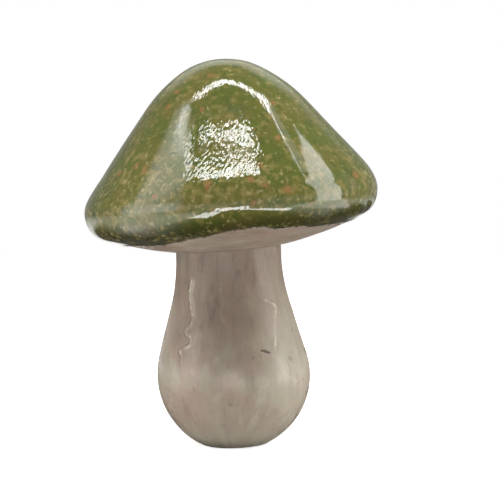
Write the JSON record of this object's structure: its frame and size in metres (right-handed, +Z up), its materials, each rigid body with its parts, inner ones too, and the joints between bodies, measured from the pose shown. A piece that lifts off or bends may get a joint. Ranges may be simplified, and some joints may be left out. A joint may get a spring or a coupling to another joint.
{
  "type": "mushroom ornament",
  "caption": "Hollow glazed ceramic mushroom for a shelf or table: a glossy speckled green conical cap set at a tilt on a pale bulb-shaped stem with a flat foot.",
  "frame": {"origin": "centre of the foot ring, on the surface that the ornament stands on", "axes": "+Z up, +X to the right and -Y towards the viewer of the picture; the cap tilts towards -X in the XZ plane"},
  "size_m": [0.1219, 0.1224, 0.1602],
  "materials": {
    "bisque_clay": "bare fired stoneware",
    "green_glaze": "glossy, speckled",
    "beige_glaze": "satin gloss"
  },
  "bodies": {
    "root": {"cap_shell": "bisque_clay", "cap_glaze": "green_glaze", "underside_glaze": "beige_glaze", "luting_ring": "bisque_clay", "stem_shell": "bisque_clay", "stem_glaze": "beige_glaze"}
  },
  "joints": []
}
